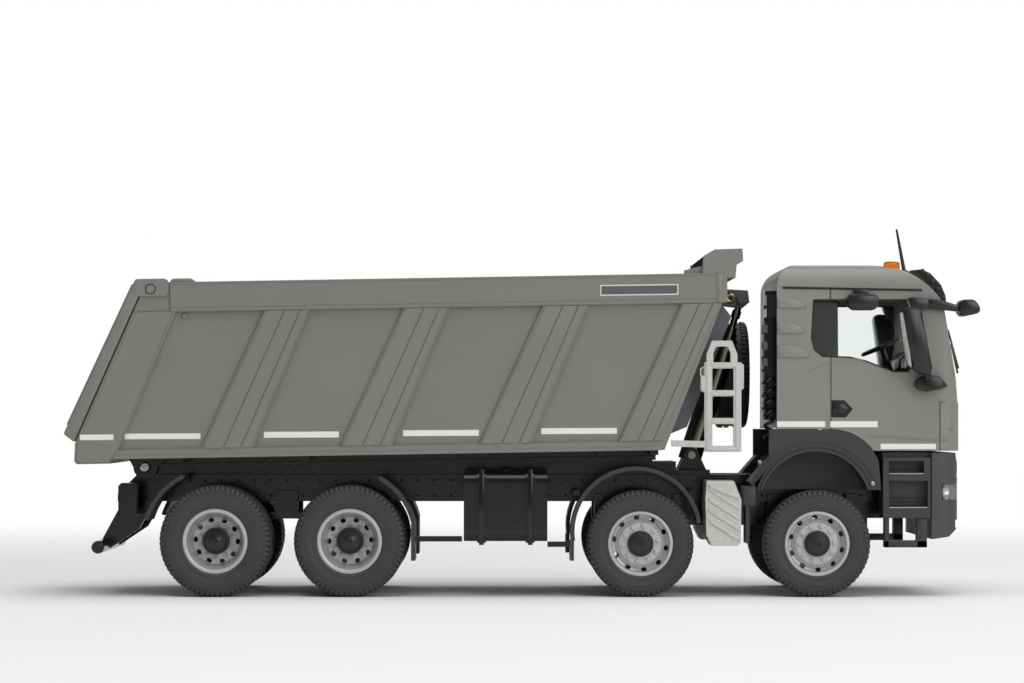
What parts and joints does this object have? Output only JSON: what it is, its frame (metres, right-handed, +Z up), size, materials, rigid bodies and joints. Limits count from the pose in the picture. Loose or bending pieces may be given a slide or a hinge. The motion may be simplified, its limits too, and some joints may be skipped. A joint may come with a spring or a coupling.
{
  "type": "scale model four-axle tipper truck",
  "caption": "Die-cast scale model of a heavy tipper truck with a raked tipping body, hinged tailgate, telescopic cylinder, steered front axles and rolling wheels.",
  "frame": {"origin": "centre of the model on the floor under it, midway between the tailgate lip and the front mirror", "axes": "+X forward, +Y to the left of the truck, +Z up"},
  "size_m": [0.1866, 0.056, 0.0753],
  "materials": {
    "tyre_rubber": "satin",
    "silver_paint": "satin",
    "grey_paint": "satin",
    "black_paint": "gloss",
    "black_plastic": "satin",
    "bright_steel": "satin",
    "clear_glass": "gloss",
    "amber_lens": "gloss"
  },
  "bodies": {
    "chassis": {"antenna": "black_plastic", "beacons": "amber_lens", "bumper": "black_plastic", "cab_glass": "clear_glass", "cab_interior": "black_plastic", "cab_shell": "grey_paint", "cab_steps": "black_plastic", "engine_block": "black_paint", "frame_rails": "black_paint", "front_axles": "black_paint", "fuel_tanks": "black_paint", "leaf_springs": "black_paint", "mirrors": "black_plastic", "mudguards": "black_plastic", "rear_axles": "black_paint", "side_boxes": "black_paint", "side_guard": "black_paint", "steering_wheel": "black_plastic", "subframe": "black_paint", "sun_visor": "black_plastic", "underrun": "black_paint", "wheel_arches": "black_plastic"},
    "tipper": {"tipper_box": "grey_paint", "floor_frame": "black_paint", "front_guard": "grey_paint", "ladder": "silver_paint", "spare_tyre": "tyre_rubber", "spare_rim": "silver_paint", "spare_carrier": "black_paint"},
    "tailgate": {"tailgate": "grey_paint"},
    "cylinder_barrel": {"cylinder_barrel": "bright_steel"},
    "cylinder_stage_1": {"cylinder_stage_1": "bright_steel"},
    "cylinder_stage_2": {"cylinder_stage_2": "bright_steel"},
    "cylinder_stage_3": {"cylinder_stage_3": "bright_steel"},
    "cylinder_rod": {"cylinder_rod": "bright_steel"},
    "knuckle_axle_1_right": {"knuckle_axle_1_right": "black_paint"},
    "wheel_axle_1_right": {"tyre_axle_1_right": "tyre_rubber", "rim_axle_1_right": "silver_paint"},
    "knuckle_axle_1_left": {"knuckle_axle_1_left": "black_paint"},
    "wheel_axle_1_left": {"tyre_axle_1_left": "tyre_rubber", "rim_axle_1_left": "silver_paint"},
    "knuckle_axle_2_right": {"knuckle_axle_2_right": "black_paint"},
    "wheel_axle_2_right": {"tyre_axle_2_right": "tyre_rubber", "rim_axle_2_right": "silver_paint"},
    "knuckle_axle_2_left": {"knuckle_axle_2_left": "black_paint"},
    "wheel_axle_2_left": {"tyre_axle_2_left": "tyre_rubber", "rim_axle_2_left": "silver_paint"},
    "wheel_axle_3_right": {"tyres_axle_3_right": "tyre_rubber", "rim_axle_3_right": "silver_paint"},
    "wheel_axle_3_left": {"tyres_axle_3_left": "tyre_rubber", "rim_axle_3_left": "silver_paint"},
    "wheel_axle_4_right": {"tyres_axle_4_right": "tyre_rubber", "rim_axle_4_right": "silver_paint"},
    "wheel_axle_4_left": {"tyres_axle_4_left": "tyre_rubber", "rim_axle_4_left": "silver_paint"}
  },
  "joints": [
    {"name": "tip", "type": "hinge", "parent": "chassis", "child": "tipper", "pos_m": [-0.078, 0, 0.0262], "axis": [0, -1, 0], "range_deg": [0, 45]},
    {"name": "tailgate_swing", "type": "hinge", "parent": "tipper", "child": "tailgate", "pos_m": [-0.07556, 0, 0.06255], "axis": [0, 1, 0], "range_deg": [0, 60]},
    {"name": "cylinder_swing", "type": "hinge", "parent": "chassis", "child": "cylinder_barrel", "pos_m": [0.0355, 0, 0.0286], "axis": [0, -1, 0], "range_deg": [0, 42.55]},
    {"name": "cylinder_slide_1", "type": "slide", "parent": "cylinder_barrel", "child": "cylinder_stage_1", "axis": [0.3066, 0, 0.9518], "range_m": [0, 0.02172]},
    {"name": "cylinder_slide_2", "type": "slide", "parent": "cylinder_stage_1", "child": "cylinder_stage_2", "axis": [0.3066, 0, 0.9518], "range_m": [0, 0.02172]},
    {"name": "cylinder_slide_3", "type": "slide", "parent": "cylinder_stage_2", "child": "cylinder_stage_3", "axis": [0.3066, 0, 0.9518], "range_m": [0, 0.02172]},
    {"name": "cylinder_slide_4", "type": "slide", "parent": "cylinder_stage_3", "child": "cylinder_rod", "axis": [0.3066, 0, 0.9518], "range_m": [0, 0.02172]},
    {"name": "steer_axle_1_left", "type": "hinge", "parent": "chassis", "child": "knuckle_axle_1_left", "pos_m": [0.0598, 0.0172, 0.01085], "axis": [0, 0, 1], "range_deg": [-14, 14]},
    {"name": "spin_axle_1_left", "type": "hinge", "parent": "knuckle_axle_1_left", "child": "wheel_axle_1_left", "pos_m": [0.0598, 0.0215, 0.01085], "axis": [0, 1, 0], "continuous": true},
    {"name": "steer_axle_1_right", "type": "hinge", "parent": "chassis", "child": "knuckle_axle_1_right", "pos_m": [0.0598, -0.0172, 0.01085], "axis": [0, 0, 1], "range_deg": [-14.01, 14.01]},
    {"name": "spin_axle_1_right", "type": "hinge", "parent": "knuckle_axle_1_right", "child": "wheel_axle_1_right", "pos_m": [0.0598, -0.0215, 0.01085], "axis": [0, 1, 0], "continuous": true},
    {"name": "steer_axle_2_left", "type": "hinge", "parent": "chassis", "child": "knuckle_axle_2_left", "pos_m": [0.0239, 0.0172, 0.01085], "axis": [0, 0, 1], "range_deg": [-8.41, 8.41]},
    {"name": "spin_axle_2_left", "type": "hinge", "parent": "knuckle_axle_2_left", "child": "wheel_axle_2_left", "pos_m": [0.0239, 0.0215, 0.01085], "axis": [0, 1, 0], "continuous": true},
    {"name": "steer_axle_2_right", "type": "hinge", "parent": "chassis", "child": "knuckle_axle_2_right", "pos_m": [0.0239, -0.0172, 0.01085], "axis": [0, 0, 1], "range_deg": [-8.41, 8.41]},
    {"name": "spin_axle_2_right", "type": "hinge", "parent": "knuckle_axle_2_right", "child": "wheel_axle_2_right", "pos_m": [0.0239, -0.0215, 0.01085], "axis": [0, 1, 0], "continuous": true},
    {"name": "spin_axle_3_left", "type": "hinge", "parent": "chassis", "child": "wheel_axle_3_left", "pos_m": [-0.0352, 0.018, 0.01135], "axis": [0, 1, 0], "continuous": true},
    {"name": "spin_axle_3_right", "type": "hinge", "parent": "chassis", "child": "wheel_axle_3_right", "pos_m": [-0.0352, -0.018, 0.01135], "axis": [0, 1, 0], "continuous": true},
    {"name": "spin_axle_4_left", "type": "hinge", "parent": "chassis", "child": "wheel_axle_4_left", "pos_m": [-0.0625, 0.018, 0.01135], "axis": [0, 1, 0], "continuous": true},
    {"name": "spin_axle_4_right", "type": "hinge", "parent": "chassis", "child": "wheel_axle_4_right", "pos_m": [-0.0625, -0.018, 0.01135], "axis": [0, 1, 0], "continuous": true}
  ],
  "couplings": [
    {"joint": "cylinder_swing", "follows": "tip", "ratio": 0.94524},
    {"joint": "cylinder_slide_1", "follows": "tip", "m_per_rad": 0.027643},
    {"joint": "cylinder_slide_2", "follows": "tip", "m_per_rad": 0.027643},
    {"joint": "cylinder_slide_3", "follows": "tip", "m_per_rad": 0.027643},
    {"joint": "cylinder_slide_4", "follows": "tip", "m_per_rad": 0.027643},
    {"joint": "steer_axle_1_right", "follows": "steer_axle_1_left", "ratio": 1},
    {"joint": "steer_axle_2_left", "follows": "steer_axle_1_left", "ratio": 0.6},
    {"joint": "steer_axle_2_right", "follows": "steer_axle_1_left", "ratio": 0.6}
  ]
}
